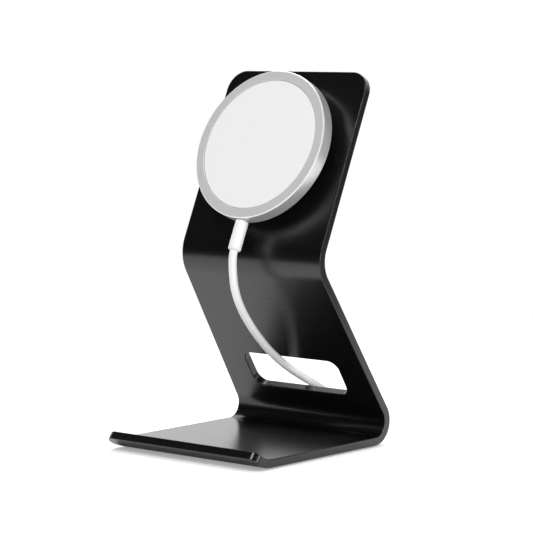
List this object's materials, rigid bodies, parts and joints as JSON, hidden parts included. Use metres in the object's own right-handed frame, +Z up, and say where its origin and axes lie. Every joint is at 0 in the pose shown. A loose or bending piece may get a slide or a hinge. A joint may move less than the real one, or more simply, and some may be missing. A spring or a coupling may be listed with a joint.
{
  "type": "phone charging stand",
  "caption": "Desk stand folded from a black aluminium sheet, holding a round magnetic charging puck whose white cord passes down through a window in the stand.",
  "frame": {"origin": "on the table, under the middle of the stand's footprint", "axes": "+Z up, +Y to the rear, +X to the right of someone who faces the stand; the stand is a mirror image of itself across X"},
  "size_m": [0.0851, 0.1298, 0.1328],
  "materials": {
    "black_anodised": "fine bead-blasted, black anodised",
    "bare_aluminium": "finely brushed, clear anodised",
    "white_plastic": "satin white",
    "black_plastic": "matt black",
    "grey_silicone": "matt dark grey",
    "adhesive_foam": "matt foam with adhesive on both sides",
    "magnet_plating": "nickel plated",
    "copper": "enamelled copper wire",
    "ferrite": "matt dark ceramic",
    "board_green": "green solder mask",
    "steel": "plain bright steel"
  },
  "bodies": {
    "root": {"stand_plate": "black_anodised", "foot_front_left": "grey_silicone", "foot_front_right": "grey_silicone", "foot_rear_left": "grey_silicone", "foot_rear_right": "grey_silicone", "panel_pad": "adhesive_foam", "puck_standoff": "black_plastic", "puck_pad": "adhesive_foam", "puck_ring": "bare_aluminium", "puck_face": "white_plastic", "puck_cover": "bare_aluminium", "magnet_yoke": "steel", "magnet_01": "magnet_plating", "magnet_02": "magnet_plating", "magnet_03": "magnet_plating", "magnet_04": "magnet_plating", "magnet_05": "magnet_plating", "magnet_06": "magnet_plating", "magnet_07": "magnet_plating", "magnet_08": "magnet_plating", "magnet_09": "magnet_plating", "magnet_10": "magnet_plating", "magnet_11": "magnet_plating", "magnet_12": "magnet_plating", "magnet_13": "magnet_plating", "magnet_14": "magnet_plating", "magnet_15": "magnet_plating", "magnet_16": "magnet_plating", "charging_coil": "copper", "reading_antenna": "copper", "ferrite_shield": "ferrite", "circuit_board": "board_green", "controller_can": "steel", "power_inductor": "ferrite", "tuning_capacitor_1": "black_plastic", "tuning_capacitor_2": "black_plastic", "strain_relief": "white_plastic", "cord_tube": "white_plastic", "cord_coil": "white_plastic", "coil_tie": "black_plastic", "cord_tail": "white_plastic", "plug_body": "white_plastic", "plug_shell": "steel", "plug_tongue": "black_plastic"}
  },
  "joints": []
}
